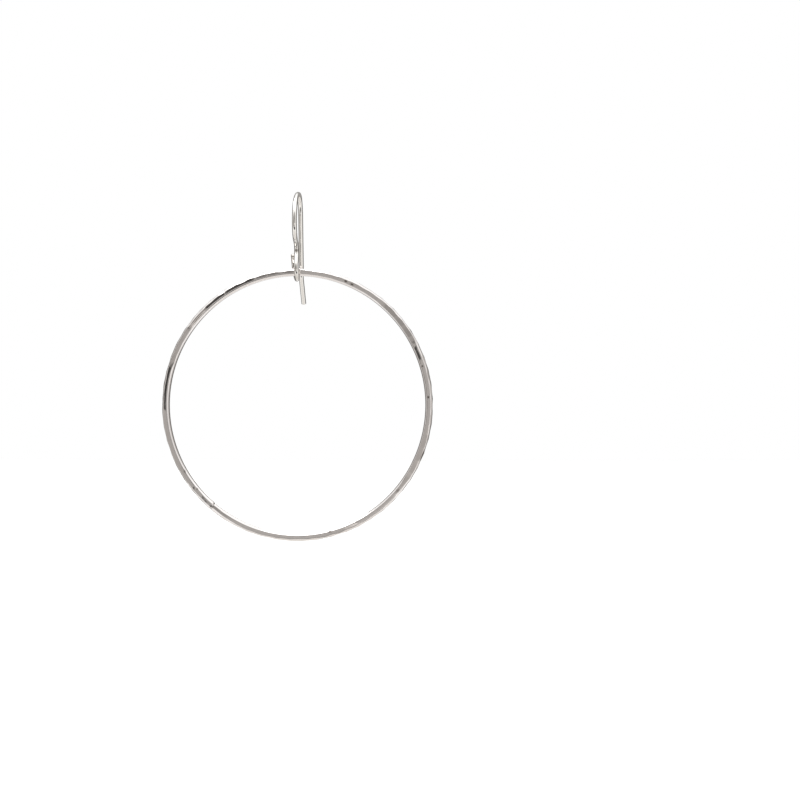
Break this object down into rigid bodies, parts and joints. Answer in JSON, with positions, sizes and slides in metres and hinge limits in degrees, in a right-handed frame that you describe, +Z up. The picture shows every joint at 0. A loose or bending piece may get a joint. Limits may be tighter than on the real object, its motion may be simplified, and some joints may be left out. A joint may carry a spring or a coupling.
{
  "type": "hoop earring",
  "caption": "Hammered silver wire hoop hanging in the eye of a French ear wire, with an arched hook, a flared tail and a soldered ring.",
  "frame": {"origin": "inside top of the ear wire's arch, where the earring hangs in the ear", "axes": "+Z up, the long way of the hanging earring; +X along the plane of the hoop, to the right seen from the front; +Y from the front to the back, where the tail is"},
  "size_m": [0.0507, 0.0161, 0.065],
  "materials": {
    "ear_wire_silver": "polished sterling silver wire",
    "hoop_silver": "hammered and polished sterling silver wire"
  },
  "bodies": {
    "ear_wire": {"ear_wire": "ear_wire_silver"},
    "hoop": {"hoop": "hoop_silver"}
  },
  "joints": [
    {"name": "hoop_swing", "type": "hinge", "parent": "ear_wire", "child": "hoop", "pos_m": [-0.00021, -0.0003, -0.01405], "axis": [1, 0, 0], "range_deg": [-90, 90]}
  ]
}
